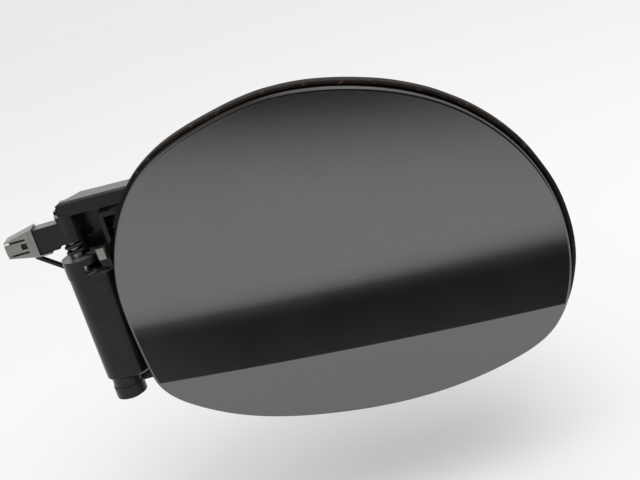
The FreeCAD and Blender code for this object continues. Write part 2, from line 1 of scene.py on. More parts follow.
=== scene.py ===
# %% [markdown]
# # A car's fuel filler flap
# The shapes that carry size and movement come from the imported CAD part. This script gives them their looks:
# it replaces each piece by a mesh with soft edges, gives it a procedural finish, and photographs the result
# on a pale floor. The part's lengths are millimetres: either times the factor MM, or plain in the cells that
# draw a shape, where the whole shape is scaled at the end. The studio's large lengths are metres.

# %% Load the frame
import bmesh
import bpy
import json
import math
import numpy as np
from mathutils import Matrix, Vector


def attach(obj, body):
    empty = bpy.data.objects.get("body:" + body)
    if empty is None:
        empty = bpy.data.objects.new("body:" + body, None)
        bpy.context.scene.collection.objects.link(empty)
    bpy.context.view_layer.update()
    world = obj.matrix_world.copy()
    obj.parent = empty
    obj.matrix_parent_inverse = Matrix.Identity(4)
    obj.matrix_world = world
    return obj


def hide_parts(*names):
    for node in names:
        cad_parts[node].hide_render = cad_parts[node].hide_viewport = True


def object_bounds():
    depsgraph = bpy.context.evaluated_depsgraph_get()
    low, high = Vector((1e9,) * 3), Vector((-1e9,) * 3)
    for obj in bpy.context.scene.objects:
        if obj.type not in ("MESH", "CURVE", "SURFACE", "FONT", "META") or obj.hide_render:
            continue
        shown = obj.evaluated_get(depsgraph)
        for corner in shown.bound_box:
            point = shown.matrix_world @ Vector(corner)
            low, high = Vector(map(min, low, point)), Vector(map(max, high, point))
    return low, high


MM = 0.001
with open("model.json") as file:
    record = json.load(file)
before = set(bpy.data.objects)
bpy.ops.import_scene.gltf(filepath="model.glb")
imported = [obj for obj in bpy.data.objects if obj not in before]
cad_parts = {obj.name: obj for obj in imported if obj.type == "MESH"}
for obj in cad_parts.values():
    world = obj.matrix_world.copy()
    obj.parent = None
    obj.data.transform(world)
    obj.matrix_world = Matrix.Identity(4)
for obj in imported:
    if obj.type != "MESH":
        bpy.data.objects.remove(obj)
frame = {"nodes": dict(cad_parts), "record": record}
cad_low, cad_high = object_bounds()
print("CAD box in mm:", [round(v / MM, 1) for v in cad_low], [round(v / MM, 1) for v in cad_high])

# %% [markdown]
# ## Camera
# The photo was taken from a little to the right and 20 degrees above, and the flap leans 17 degrees to the
# left in it. Leaning the camera instead of the part keeps the part's own frame upright.

# %% Camera
view_azimuth = math.radians(4.0)
view_elevation = math.radians(20.0)
view_roll = math.radians(17.0)
view_distance = 450 * MM
flap_middle = Vector((0, -55 * MM, 0))
frame_shift = Vector((-9.6 * MM, 4.8 * MM))

backward = Vector((math.sin(view_azimuth) * math.cos(view_elevation),
                   -math.cos(view_azimuth) * math.cos(view_elevation),
                   math.sin(view_elevation)))
level_right = (-backward).cross(Vector((0, 0, 1))).normalized()
level_up = level_right.cross(-backward)
camera_right = level_right * math.cos(view_roll) - level_up * math.sin(view_roll)
camera_up = level_right * math.sin(view_roll) + level_up * math.cos(view_roll)
camera_data = bpy.data.cameras.new("photo_camera")
camera_data.sensor_width = 36
camera_data.lens = 63.3
camera = bpy.data.objects.new("photo_camera", camera_data)
bpy.context.scene.collection.objects.link(camera)
camera_place = flap_middle + backward * view_distance
camera_place += camera_right * frame_shift.x + camera_up * frame_shift.y
turn = Matrix((camera_right, camera_up, backward)).transposed()
camera.matrix_world = Matrix.Translation(camera_place) @ turn.to_4x4()
bpy.context.scene.camera = camera
print("camera at", [round(v, 3) for v in camera_place])

# %% [markdown]
# ## Finishes
# Each finish is a Principled shader with noise in the part's own millimetres. Noise that is fine enough to
# read as flake, grain or brushing sits in the bump or the colour; a coarser one changes the roughness, as
# handling does. Dust mixed with painted light lies where a face looks up, and grime mixed with painted shade
# where the paint's edge looks outwards; both use the object's own normal.

# %% Helpers for the finishes
def new_finish(name):
    """A material with its Principled shader, and a coordinate output in the part's own metres."""
    material = bpy.data.materials.new(name)
    material.use_nodes = True
    nodes = material.node_tree.nodes
    shader = next(node for node in nodes if node.type == "BSDF_PRINCIPLED")
    place = nodes.new("ShaderNodeTexCoord").outputs["Object"]
    return material, shader, place


def noise(material, place, size, detail=2.0, stretch=(1, 1, 1)):
    """Noise whose features are about as large as size, in metres; stretch draws it out along an axis."""
    nodes, links = material.node_tree.nodes, material.node_tree.links
    mapping = nodes.new("ShaderNodeMapping")
    mapping.inputs["Scale"].default_value = [1 / part for part in stretch]
    links.new(place, mapping.inputs["Vector"])
    texture = nodes.new("ShaderNodeTexNoise")
    texture.inputs["Scale"].default_value = 1 / size
    texture.inputs["Detail"].default_value = detail
    links.new(mapping.outputs["Vector"], texture.inputs["Vector"])
    return texture.outputs["Fac"]


def between(material, factor, low, high, start=0.3, end=0.7, course="LINEAR"):
    """Number that runs from low to high while a factor runs from start to end."""
    nodes, links = material.node_tree.nodes, material.node_tree.links
    ramp = nodes.new("ShaderNodeMapRange")
    ramp.interpolation_type = course
    ramp.inputs["From Min"].default_value = start
    ramp.inputs["From Max"].default_value = end
    ramp.inputs["To Min"].default_value = low
    ramp.inputs["To Max"].default_value = high
    links.new(factor, ramp.inputs["Value"])
    return ramp.outputs["Result"]


def mixed(material, factor, first, second):
    """Colour between two colours."""
    nodes, links = material.node_tree.nodes, material.node_tree.links
    mix = nodes.new("ShaderNodeMix")
    mix.data_type = "RGBA"
    sockets = [socket for socket in mix.inputs if socket.type == "RGBA"]
    for socket, value in zip(sockets, (first, second)):
        if isinstance(value, bpy.types.NodeSocket):
            links.new(value, socket)
        else:
            socket.default_value = (*value, 1)
    links.new(factor, mix.inputs["Factor"])
    return next(socket for socket in mix.outputs if socket.type == "RGBA")


def along(material, vector, direction):
    """How far a vector goes along a direction."""
    nodes, links = material.node_tree.nodes, material.node_tree.links
    product = nodes.new("ShaderNodeVectorMath")
    product.operation = "DOT_PRODUCT"
    product.inputs[1].default_value = direction
    links.new(vector, product.inputs[0])
    return product.outputs["Value"]


def times(material, first, second):
    """Product of two numbers."""
    nodes, links = material.node_tree.nodes, material.node_tree.links
    product = nodes.new("ShaderNodeMath")
    product.operation = "MULTIPLY"
    links.new(first, product.inputs[0])
    links.new(second, product.inputs[1])
    return product.outputs["Value"]


def blended(material, factor, first, second):
    """Number between a node's output and a plain number."""
    nodes, links = material.node_tree.nodes, material.node_tree.links
    mix = nodes.new("ShaderNodeMix")
    sockets = [socket for socket in mix.inputs if socket.type == "VALUE" and socket.name in "AB"]
    links.new(first, sockets[0])
    sockets[1].default_value = second
    links.new(factor, mix.inputs["Factor"])
    return next(socket for socket in mix.outputs if socket.type == "VALUE")


def bumped(material, height, depth):
    """Bump of a given depth in metres, as a normal."""
    nodes, links = material.node_tree.nodes, material.node_tree.links
    bump = nodes.new("ShaderNodeBump")
    bump.inputs["Distance"].default_value = depth
    links.new(height, bump.inputs["Height"])
    return bump.outputs["Normal"]


def link(material, output, socket):
    """Joins an output to a shader's socket."""
    material.node_tree.links.new(output, socket)


# %% Paint
def make_paint():
    """Dark grey metallic under a slightly uneven clear coat, with some dust, and grime with painted shade on
    the rolled edge, heavier to the left.
    """
    material, shader, place = new_finish("body_paint")
    flake = noise(material, place, 0.16 * MM, detail=1)
    cloud = noise(material, place, 30 * MM, detail=2)
    glitter = between(material, flake, 0, 1, 0.35, 0.7)
    base = mixed(material, glitter, (0.087, 0.089, 0.095), (0.143, 0.145, 0.153))
    speck = noise(material, place, 1.6 * MM, detail=3)
    dust = between(material, speck, 0, 1, 0.765, 0.8)
    dusted = mixed(material, dust, base, (0.45, 0.45, 0.45))
    normal = place.node.outputs["Normal"]
    # Painted shade together with some grime: the rolled edge turns dark, rough and without clear coat, more
    # on the left, where it stands in for the dark surroundings that the edge would mirror.
    edge = between(material, along(material, normal, (0, -1, 0)), 0, 1, 0.94, 0.75, "SMOOTHSTEP")
    grime_and_shade_share = between(material, along(material, place, (1, 0, 0)), 1.0, 0.45, -20 * MM, 20 * MM)
    edge_grime_and_shade = times(material, edge, grime_and_shade_share)
    link(material, mixed(material, edge_grime_and_shade, dusted, (0.018, 0.015, 0.013)), shader.inputs["Base Color"])
    link(material, between(material, edge_grime_and_shade, 1.0, 0.0, 0, 1), shader.inputs["Metallic"])
    polish = between(material, cloud, 0.18, 0.21)
    link(material, blended(material, edge_grime_and_shade, polish, 0.7), shader.inputs["Roughness"])
    link(material, bumped(material, flake, 0.0015 * MM), shader.inputs["Normal"])
    peel = noise(material, place, 3 * MM, detail=1)
    link(material, between(material, edge_grime_and_shade, 1.0, 0.0, 0, 1), shader.inputs["Coat Weight"])
    link(material, between(material, edge_grime_and_shade, 0.5, 0.08, 0, 1), shader.inputs["Specular IOR Level"])
    shader.inputs["Coat Roughness"].default_value = 0.05
    link(material, bumped(material, peel, 0.002 * MM), shader.inputs["Coat Normal"])
    return material


paint = make_paint()


# %% Black mouldings and rubber
def make_moulding(name, dark, light, roughness, shine, grain, dust, top_dust_and_light):
    """Moulded plastic or rubber: fine grain, uneven roughness from handling, specks, and a lighter top that
    is dust together with a painted sheen on upward faces.
    """
    material, shader, place = new_finish(name)
    tone = noise(material, place, 9 * MM, detail=4)
    base = mixed(material, between(material, tone, 0, 1), dark, light)
    speck = noise(material, place, 2.2 * MM, detail=5)
    specks = mixed(material, between(material, speck, 0, dust, 0.6, 0.75), base, (0.16, 0.14, 0.12))
    normal = place.node.outputs["Normal"]
    # Upward faces are lightened: partly dust, partly painted light for a top that catches the sheen of bright
    # surroundings.
    upward = between(material, along(material, normal, (0, 0, 1)), 0, 1, 0.5, 1, "SMOOTHSTEP")
    dust_and_light_on_top = times(material, upward, between(material, tone, top_dust_and_light / 2, top_dust_and_light))
    link(material, mixed(material, dust_and_light_on_top, specks, (0.2, 0.2, 0.19)), shader.inputs["Base Color"])
    link(material, between(material, tone, roughness - 0.07, roughness + 0.07), shader.inputs["Roughness"])
    shader.inputs["Specular IOR Level"].default_value = shine
    skin = noise(material, place, grain, detail=2)
    link(material, bumped(material, skin, 0.12 * grain), shader.inputs["Normal"])
    return material


moulding = make_moulding("black_moulding", (0.004, 0.004, 0.0045), (0.008, 0.008, 0.0085),
                         roughness=0.24, shine=0.27, grain=0.35 * MM, dust=0.08, top_dust_and_light=0.45)
panel_plastic = make_moulding("panel_moulding", (0.014, 0.014, 0.015), (0.022, 0.022, 0.023),
                              roughness=0.52, shine=0.35, grain=0.5 * MM, dust=0.2, top_dust_and_light=0.3)
rubber = make_moulding("soft_rubber", (0.010, 0.008, 0.007), (0.022, 0.014, 0.011),
                       roughness=0.7, shine=0.1, grain=0.3 * MM, dust=0.35, top_dust_and_light=0.06)
bush_plastic = make_moulding("bush_plastic", (0.36, 0.35, 0.32), (0.44, 0.43, 0.4),
                             roughness=0.45, shine=0.4, grain=0.4 * MM, dust=0.3, top_dust_and_light=0.2)


# %% Steels
def make_steel(name, dark, light, roughness, stretch):
    """Bare or plated steel: fine drawn lines along one axis, with duller patches."""
    material, shader, place = new_finish(name)
    lines = noise(material, place, 0.18 * MM, detail=3, stretch=stretch)
    patch = noise(material, place, 3.5 * MM, detail=4)
    tone = mixed(material, between(material, lines, 0, 1), dark, light)
    link(material, tone, shader.inputs["Base Color"])
    shader.inputs["Metallic"].default_value = 1.0
    link(material, between(material, patch, roughness - 0.06, roughness + 0.1), shader.inputs["Roughness"])
    link(material, bumped(material, lines, 0.012 * MM), shader.inputs["Normal"])
    return material


clip_steel = make_steel("clip_steel", (0.2, 0.2, 0.19), (0.32, 0.32, 0.3), 0.36, (12, 1, 1))
pin_steel = make_steel("pin_steel", (0.34, 0.34, 0.34), (0.5, 0.5, 0.5), 0.25, (1, 1, 12))
spring_steel = make_steel("spring_steel", (0.035, 0.035, 0.038), (0.065, 0.065, 0.068), 0.42, (1, 1, 1))
screw_steel = make_steel("screw_steel", (0.24, 0.24, 0.235), (0.36, 0.36, 0.35), 0.32, (1, 1, 1))
finishes = {
    "body_paint": paint, "black_moulding": moulding, "panel_moulding": panel_plastic,
    "soft_rubber": rubber, "bush_plastic": bush_plastic, "clip_steel": clip_steel,
    "pin_steel": pin_steel, "spring_steel": spring_steel, "screw_steel": screw_steel,
}
print("finishes:", sorted(finishes))

# %% [markdown]
# ## Soft edges for the machined and moulded pieces
# A CAD solid has perfectly sharp edges, which catch no light. Each of these pieces is a copy of its node:
# the triangles are merged back into whole faces, and every sharp edge gets a small bevel. Normals weighted
# by area keep the large faces even beside their bevels. The copy then stands for the CAD node.

# %% A copy with soft edges
node_slots = {item["node"]: item["material_slot"] for item in frame["record"]["subparts"]}
bodies = frame["record"]["behaviour"]["bodies"]
node_bodies = {node: body for body, members in bodies.items() for node in members}


def dress(piece, node):
    """Gives a piece the finish, the body and the slot of a CAD node, and hides that node."""
    piece.data.materials.clear()
    piece.data.materials.append(finishes[node_slots[node]])
    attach(piece, node_bodies[node])
    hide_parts(node)


def softened(node, bevel):
    """Copy of a CAD node with its sharp edges rounded by a bevel, in metres."""
    mesh = bpy.data.meshes.new(node + "_soft")
    work = bmesh.new()
    work.from_mesh(frame["nodes"][node].data)
    bmesh.ops.remove_doubles(work, verts=work.verts, dist=0.002 * MM)
    bmesh.ops.dissolve_limit(work, angle_limit=math.radians(0.5), verts=work.verts, edges=work.edges)
    sharp = [edge for edge in work.edges if edge.is_manifold and edge.calc_face_angle() > math.radians(40)]
    bmesh.ops.bevel(work, geom=sharp, offset=bevel, offset_type="OFFSET", segments=2, profile=0.5,
                    affect="EDGES", clamp_overlap=True)
    bmesh.ops.recalc_face_normals(work, faces=work.faces)
    for face in work.faces:
        face.smooth = True
    work.to_mesh(mesh)
    volume = work.calc_volume()
    work.free()
    mesh.set_sharp_from_angle(angle=math.radians(50))
    piece = bpy.data.objects.new(node + "_soft", mesh)
    bpy.context.scene.collection.objects.link(piece)
    even = piece.modifiers.new("even_shading", "WEIGHTED_NORMAL")
    even.keep_sharp = True
    evaluated = piece.evaluated_get(bpy.context.evaluated_depsgraph_get())
    piece.data = bpy.data.meshes.new_from_object(evaluated)
    piece.modifiers.remove(even)
    dress(piece, node)
    print(f"{node}: {len(mesh.polygons)} faces, {volume / MM ** 3:.0f} cubic mm")
    return piece


# %% The pieces that only need soft edges
bevels = {
    "hinge_arm": 0.35, "barrel_cap": 0.25, "hinge_carrier": 0.4, "spring_anchor": 0.1, "filler_bowl": 0.4,
    "striker": 0.4, "lock_guide": 0.3, "neck_seal": 0.6, "lower_bush": 0.2, "upper_bush": 0.2,
    "hinge_pin": 0.3, "bump_stops": 0.3, "inner_panel": 0.25, "spring_clip": 0.12,
}
soft_pieces = {node: softened(node, bevel * MM) for node, bevel in bevels.items()}

# %% [markdown]
# ## Flap skin
# The painted face carries wide soft reflections, so it needs an exact surface. Its height is a formula: a
# side profile with a shoulder and a crease, turned about an upright axis far behind, and leaning by a small
# angle. Rows of vertices run along the crease, and close rows follow the crease itself. The edge is then
# rolled round to the hem.

# %% Outline of the flap
outline_points = np.array([
    (88.5, -16.0), (83.3, -42.7), (72.4, -57.2), (55.8, -64.4), (18.0, -69.7), (-24.8, -66.1),
    (-57.1, -57.6), (-76.2, -47.6), (-87.0, -37.6), (-92.0, -20.0), (-93.5, 6.0), (-86.1, 31.0),
    (-69.4, 52.4), (-41.0, 64.5), (-12.0, 68.8), (19.1, 63.9), (51.1, 49.2), (76.6, 22.8),
])


def smooth_outline(points, count):
    """Closed cubic spline through the points: places and outward normals, evenly spaced along it."""
    number = len(points)
    spans = np.linalg.norm(np.roll(points, -1, 0) - points, axis=1)
    slopes = (np.roll(points, -1, 0) - points) / spans[:, None]
    system = np.zeros((number, number))
    for index in range(number):
        before = spans[index - 1]
        after = spans[index]
        system[index, index - 1] = after
        system[index, index] = 2 * (before + after)
        system[index, (index + 1) % number] = before
    right_side = 3 * (spans[:, None] * np.roll(slopes, 1, 0) + np.roll(spans, 1)[:, None] * slopes)
    headings = np.linalg.solve(system, right_side)
    fine = []
    for index in range(number):
        following = (index + 1) % number
        share = np.linspace(0, 1, 80, endpoint=False)[:, None]
        start, end = points[index], points[following]
        out, back = headings[index] * spans[index], headings[following] * spans[index]
        fine.append(start * (1 + 2 * share) * (1 - share) ** 2 + out * share * (1 - share) ** 2
                    + end * share ** 2 * (3 - 2 * share) - back * share ** 2 * (1 - share))
    fine = np.concatenate(fine)
    closed = np.vstack([fine, fine[:1]])
    lengths = np.concatenate([[0], np.cumsum(np.linalg.norm(np.diff(closed, axis=0), axis=1))])
    stations = np.linspace(0, lengths[-1], count, endpoint=False)
    places = np.stack([np.interp(stations, lengths, closed[:, axis]) for axis in (0, 1)], axis=1)
    along = np.roll(places, -1, 0) - np.roll(places, 1, 0)
    along /= np.linalg.norm(along, axis=1)[:, None]
    normals = np.stack([-along[:, 1], along[:, 0]], axis=1)
    return places, normals


outline, outline_normals = smooth_outline(outline_points, 1440)
print("outline:", outline.min(0).round(1), outline.max(0).round(1), "mm")

# %% Height of the painted face
flap_plane = -55.0
crown_radius = 1300.0
arch_radius = 1250.0
arch_height = 28.0
upright_height = -2.0
blend_radius = 91.0
flare = math.radians(12.5)
crease_height = -40.0
crease_radius = 4.0
lower = math.radians(2.0)
line_slope = math.radians(4.5)


def side_profile(height):
    """Depth of the face along its own side profile, in millimetres."""
    rise = np.clip(height - arch_height, 0, None)
    upper = flap_plane + arch_radius - np.sqrt(arch_radius ** 2 - rise ** 2)
    drop = np.clip(upright_height - height, 0, None)
    blend_drop = blend_radius * math.sin(flare)
    blend_out = blend_radius * (1 - math.cos(flare))
    blend = flap_plane - blend_radius + np.sqrt(blend_radius ** 2 - np.clip(drop, 0, blend_drop) ** 2)
    straight = flap_plane - blend_out - (drop - blend_drop) * math.tan(flare)
    crease_depth = flap_plane - blend_out - (upright_height - blend_drop - crease_height) * math.tan(flare)
    beneath = crease_depth + (crease_height - height) * math.tan(lower)
    above = np.where(drop > blend_drop, straight, np.where(drop > 0, blend, upper))
    half_turn = (flare + lower) / 2
    tilt = (flare - lower) / 2
    centre_distance = crease_radius / math.cos(half_turn)
    centre_y = crease_depth + centre_distance * math.cos(tilt)
    centre_z = crease_height - centre_distance * math.sin(tilt)
    reach = np.clip(height - centre_z, -crease_radius, crease_radius)
    rounded = centre_y - np.sqrt(crease_radius ** 2 - reach ** 2)
    from_centre = height - centre_z
    round_top = crease_radius * math.sin(flare)
    round_bottom = -crease_radius * math.sin(lower)
    near = (from_centre < round_top) & (from_centre > round_bottom)
    return np.where(near, rounded, np.where(height > crease_height, above, beneath))


def face_depth(across, height):
    """Depth y of the painted face at places along and across the crease, in millimetres."""
    reach = flap_plane + crown_radius - side_profile(height)
    return flap_plane + crown_radius - np.sqrt(reach ** 2 - across ** 2)


def to_crease_lines(places):
    """Turns x and z to a frame whose first axis runs along the crease."""
    across = places[..., 0] * math.cos(line_slope) - places[..., 1] * math.sin(line_slope)
    height = places[..., 0] * math.sin(line_slope) + places[..., 1] * math.cos(line_slope)
    return across, height


def from_crease_lines(across, height):
    """Turns places along and across the crease back to x and z."""
    x = across * math.cos(line_slope) + height * math.sin(line_slope)
    z = height * math.cos(line_slope) - across * math.sin(line_slope)
    return x, z


# %% Rows of vertices on the face
def face_rows(inset, rows, columns):
    """Grid of places inside the outline: each row runs along the crease, from edge to edge."""
    across, height = to_crease_lines(outline - outline_normals * inset)
    top, bottom = int(np.argmax(height)), int(np.argmin(height))
    order = np.roll(np.arange(len(height)), -top)
    split = (bottom - top) % len(height)
    right_side, left_side = order[:split + 1], np.roll(order, -1)[split - 1:]
    end_gap = 0.02
    low, high = height[bottom] + end_gap, height[top] - end_gap
    even = low + (high - low) * (1 - np.cos(np.pi * np.linspace(0, 1, rows))) / 2
    close = crease_height + np.linspace(-1.2, 1.2, 17)
    even = even[np.abs(even - crease_height) > 1.6]
    levels = np.sort(np.concatenate([even, close]))[::-1]
    right = np.interp(levels, height[right_side][::-1], across[right_side][::-1])
    left = np.interp(levels, height[left_side], across[left_side])
    share = np.linspace(0, 1, columns)
    grid_across = left[:, None] + (right - left)[:, None] * share
    return grid_across, np.repeat(levels[:, None], columns, axis=1)


# %% [markdown]
# The face, the rolled edge, the hem and the back of the sheet are one closed mesh. Every vertex also gets
# its exact normal, so the reflections don't show the mesh.

# %% Closed mesh of the skin
skin_thickness = 1.2
hem_depth = 3.0
hem_edge = 0.4
roll_reach = 1.2
roll_depth = 0.9


def face_normals(across, height):
    """Outward normals of the face, in the part's axes."""
    step = 0.02
    slope_across = (face_depth(across + step, height) - face_depth(across - step, height)) / (2 * step)
    slope_height = (face_depth(across, height + step) - face_depth(across, height - step)) / (2 * step)
    x, z = from_crease_lines(slope_across, slope_height)
    normals = np.stack([x, -np.ones_like(x), z], axis=-1)
    return normals / np.linalg.norm(normals, axis=-1)[..., None]


def border(grid):
    """Values of a grid along its border: top row, right side, bottom row, left side."""
    return np.concatenate([grid[0, :-1], grid[:-1, -1], grid[-1, :0:-1], grid[:0:-1, 0]])


def make_skin():
    """Closed sheet with a rolled edge and a hem."""
    places, normals, faces = [], [], []

    def add(block, block_normals):
        first = sum(len(part) for part in places)
        places.append(block.reshape(-1, 3))
        normals.append(block_normals.reshape(-1, 3))
        return first + np.arange(block.shape[0] * (block.shape[1] if block.ndim == 3 else 1))

    def sheet_grid(inset, depth, outwards):
        across, height = face_rows(inset, 130, 61)
        x, z = from_crease_lines(across, height)
        block = np.stack([x, face_depth(across, height) + depth, z], axis=-1)
        numbers = add(block, face_normals(across, height) * outwards).reshape(across.shape)
        for row in range(across.shape[0] - 1):
            for column in range(across.shape[1] - 1):
                quad = [numbers[row, column], numbers[row, column + 1],
                        numbers[row + 1, column + 1], numbers[row + 1, column]]
                faces.append(quad[::-1] if outwards > 0 else quad)
        return border(numbers), border(block)

    front_loop, front_places = sheet_grid(roll_reach, 0, 1)
    back_loop, _ = sheet_grid(skin_thickness, skin_thickness, -1)
    flat = front_places[:, [0, 2]]
    distance = ((outline[None] - flat[:, None]) ** 2).sum(-1)
    outwards = outline_normals[distance.argmin(1)]
    out = np.stack([outwards[:, 0], np.zeros(len(flat)), outwards[:, 1]], axis=1)
    back = np.array([0, 1.0, 0])
    rings = []

    def add_ring(reach, depth, turn):
        """Ring at a reach beyond the front sheet and a depth behind the face, turned from front to back."""
        place = front_places + out * reach
        across, height = to_crease_lines(place[:, [0, 2]])
        place[:, 1] = face_depth(across, height) + depth
        facing_front = face_normals(across, height) if turn < math.pi / 2 else -back
        rings.append((place, facing_front * math.cos(turn) + out * math.sin(turn)))

    for angle in np.linspace(0, math.pi / 2, 9)[1:]:
        turn = math.atan2(math.sin(angle) * roll_depth, math.cos(angle) * roll_reach)
        add_ring(roll_reach * math.sin(angle), roll_depth * (1 - math.cos(angle)), turn)
    for angle in np.linspace(0, math.pi / 2, 4):
        add_ring(roll_reach - hem_edge * (1 - math.cos(angle)),
                 hem_depth - hem_edge * (1 - math.sin(angle)), math.pi / 2 + angle)
    add_ring(roll_reach - skin_thickness, hem_depth, math.radians(135))
    loops = [front_loop] + [add(place, direction) for place, direction in rings] + [back_loop]
    for first, second in zip(loops, loops[1:]):
        for index in range(len(first)):
            following = (index + 1) % len(first)
            faces.append([first[index], first[following], second[following], second[index]])
    mesh = bpy.data.meshes.new("painted_skin")
    mesh.from_pydata(np.concatenate(places) * MM, [], [[int(v) for v in face] for face in faces])
    mesh.polygons.foreach_set("use_smooth", [True] * len(mesh.polygons))
    exact = np.concatenate(normals)
    exact /= np.linalg.norm(exact, axis=1)[:, None]
    mesh.normals_split_custom_set_from_vertices(exact)
    piece = bpy.data.objects.new("painted_skin", mesh)
    bpy.context.scene.collection.objects.link(piece)
    return piece


painted_skin = make_skin()
dress(painted_skin, "flap_skin")
print("skin:", len(painted_skin.data.polygons), "faces")

# %% [markdown]
# ## Pieces that follow a path
# A rubber lip and a coil spring are one section carried along a path. Geometry Nodes does that: the path
# and the section are plain edge meshes, the tree turns them into curves and sweeps one along the other, and
# the result is turned back into a plain mesh. A slow noise can shift the path a little, as rubber never
# lies quite straight.

# %% Tree that sweeps a section along a path
def edge_object(name, places, closed):
    """Object of loose edges through places in millimetres."""
    count = len(places)
    edges = [(index, (index + 1) % count) for index in range(count if closed else count - 1)]
    mesh = bpy.data.meshes.new(name)
    mesh.from_pydata([Vector(place) * MM for place in places], edges, [])
    piece = bpy.data.objects.new(name, mesh)
    bpy.context.scene.collection.objects.link(piece)
    return piece


def new_tree(name, inputs):
    """Empty Geometry Nodes tree with a geometry input, named inputs and a geometry output."""
    tree = bpy.data.node_groups.new(name, "GeometryNodeTree")
    tree.interface.new_socket("Geometry", in_out="INPUT", socket_type="NodeSocketGeometry")
    for label, kind in inputs:
        tree.interface.new_socket(label, in_out="INPUT", socket_type=kind)
    tree.interface.new_socket("Geometry", in_out="OUTPUT", socket_type="NodeSocketGeometry")
    return tree, tree.nodes.new("NodeGroupInput"), tree.nodes.new("NodeGroupOutput")


def grow(carrier, tree, values, name):
    """Runs a tree on an object with its inputs set, and returns the result as a plain mesh object."""
    modifier = carrier.modifiers.new(name, "NODES")
    modifier.node_group = tree
    for socket in tree.interface.items_tree:
        if socket.in_out == "INPUT" and socket.name in values:
            modifier[socket.identifier] = values[socket.name]
    evaluated = carrier.evaluated_get(bpy.context.evaluated_depsgraph_get())
    mesh = bpy.data.meshes.new_from_object(evaluated)
    carrier.modifiers.remove(modifier)
    mesh.name = name
    piece = bpy.data.objects.new(name, mesh)
    bpy.context.scene.collection.objects.link(piece)
    return piece


def make_sweep_tree(steady):
    """Sweep of a section along a path; steady is the direction the section's first axis keeps, or None."""
    tree, given, result = new_tree("sweep", [
        ("Section", "NodeSocketObject"), ("Waviness", "NodeSocketFloat"), ("Finish", "NodeSocketMaterial")])
    nodes, links = tree.nodes, tree.links
    path = nodes.new("GeometryNodeMeshToCurve")
    links.new(given.outputs["Geometry"], path.inputs["Mesh"])
    wander = nodes.new("ShaderNodeTexNoise")
    wander.inputs["Scale"].default_value = 1 / (22 * MM)
    wander.inputs["Detail"].default_value = 1.0
    links.new(nodes.new("GeometryNodeInputPosition").outputs["Position"], wander.inputs["Vector"])
    centred = nodes.new("ShaderNodeVectorMath")
    centred.operation = "SUBTRACT"
    centred.inputs[1].default_value = (0.5, 0.5, 0.5)
    links.new(wander.outputs["Color"], centred.inputs[0])
    scaled = nodes.new("ShaderNodeVectorMath")
    scaled.operation = "SCALE"
    links.new(centred.outputs["Vector"], scaled.inputs[0])
    links.new(given.outputs["Waviness"], scaled.inputs["Scale"])
    shifted = nodes.new("GeometryNodeSetPosition")
    links.new(path.outputs["Curve"], shifted.inputs["Geometry"])
    links.new(scaled.outputs["Vector"], shifted.inputs["Offset"])
    upright = nodes.new("GeometryNodeSetCurveNormal")
    links.new(shifted.outputs["Geometry"], upright.inputs["Curve"])
    if steady:
        upright.mode = "FREE"
        upright.inputs["Normal"].default_value = steady
    section = nodes.new("GeometryNodeObjectInfo")
    links.new(given.outputs["Section"], section.inputs["Object"])
    section_curve = nodes.new("GeometryNodeMeshToCurve")
    links.new(section.outputs["Geometry"], section_curve.inputs["Mesh"])
    sweep = nodes.new("GeometryNodeCurveToMesh")
    sweep.inputs["Fill Caps"].default_value = True
    links.new(upright.outputs["Curve"], sweep.inputs["Curve"])
    links.new(section_curve.outputs["Curve"], sweep.inputs["Profile Curve"])
    whole = nodes.new("GeometryNodeRealizeInstances")
    links.new(sweep.outputs["Mesh"], whole.inputs["Geometry"])
    coloured = nodes.new("GeometryNodeSetMaterial")
    links.new(whole.outputs["Geometry"], coloured.inputs["Geometry"])
    links.new(given.outputs["Finish"], coloured.inputs["Material"])
    links.new(coloured.outputs["Geometry"], result.inputs["Geometry"])
    return tree


def finish_sweep(path, section, values, steady, name, node):
    """Sweeps a section along a path, smooths it, and lets it stand for a CAD node."""
    inputs = {"Section": section, "Finish": finishes[node_slots[node]], **values}
    piece = grow(path, make_sweep_tree(steady), inputs, name)
    work = bmesh.new()
    work.from_mesh(piece.data)
    bmesh.ops.remove_doubles(work, verts=work.verts, dist=0.002 * MM)
    bmesh.ops.recalc_face_normals(work, faces=work.faces)
    for face in work.faces:
        face.smooth = True
    work.to_mesh(piece.data)
    work.free()
    piece.data.set_sharp_from_angle(angle=math.radians(50))
    for helper in (path, section):
        bpy.data.objects.remove(helper)
    dress(piece, node)
    print(f"{name}: {len(piece.data.polygons)} faces")


# %% [markdown]
# ## Rubber lip
# The lip is a rubber channel pushed onto the edge of the bowl's flange, open where the hinge arm passes.
# Its section is drawn with a thin front edge and round corners, and keeps its depth axis all the way.

# %% Rubber lip
rim_shift = np.array((0.5, -1.4))
notch_low, notch_high, notch_right = -39.6, 32.0, -74.0
lip_corners = [
    (-47.6, 2.7, 0.6), (-47.6, 1.3, 0.5), (-46.2, 0.3, 0.3), (-46.2, -0.6, 0.3), (-45.0, -0.6, 0.1),
    (-45.0, 1.5, 0.1), (-42.5, 1.5, 0.1), (-42.5, -0.6, 0.1), (-40.9, -0.6, 0.4), (-40.9, 2.7, 1.0),
]


